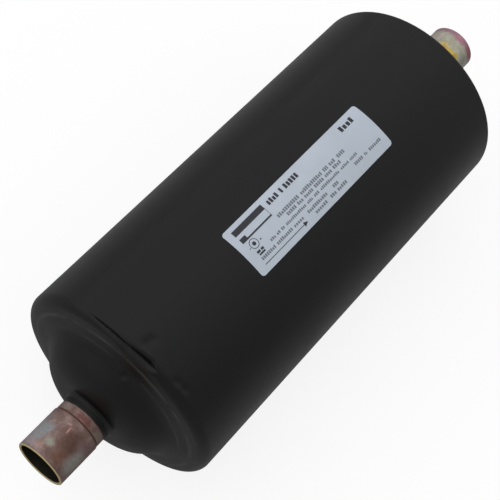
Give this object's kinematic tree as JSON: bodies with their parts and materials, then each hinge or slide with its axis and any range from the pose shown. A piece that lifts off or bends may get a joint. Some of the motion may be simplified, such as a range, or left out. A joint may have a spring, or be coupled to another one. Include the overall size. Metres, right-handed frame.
{
  "type": "filter drier",
  "caption": "Hermetic liquid-line filter drier: black painted steel drum with stepped domed ends, copper-plated solder sockets on its axis and a moulded desiccant core inside.",
  "frame": {"origin": "on the axis, at the middle of the overall length", "axes": "+X along the axis in the direction of flow, from the inlet to the outlet; +Z through the middle of the label; +Y makes a right-handed frame"},
  "size_m": [0.2288, 0.0762, 0.0763],
  "materials": {
    "black_paint": "semi-gloss black powder coat",
    "copper_plate": "copper-plated turned steel, dull and heat-tinted",
    "bright_steel": "plain pressed steel",
    "felt": "needled felt",
    "moulded_desiccant": "moulded bead desiccant, matt and porous",
    "label_film": "silver grey label film"
  },
  "bodies": {
    "root": {"shell": "black_paint", "outlet_cap": "black_paint", "cap_weld": "black_paint", "inlet_fitting": "copper_plate", "outlet_fitting": "copper_plate", "inlet_neck_braze": "black_paint", "outlet_neck_braze": "black_paint", "core_spring": "bright_steel", "pressure_plate": "bright_steel", "core_felt": "felt", "desiccant_core": "moulded_desiccant", "filter_mat": "felt", "outlet_screen": "bright_steel", "core_gasket": "felt", "outlet_pan": "bright_steel", "label": "label_film"}
  },
  "joints": []
}
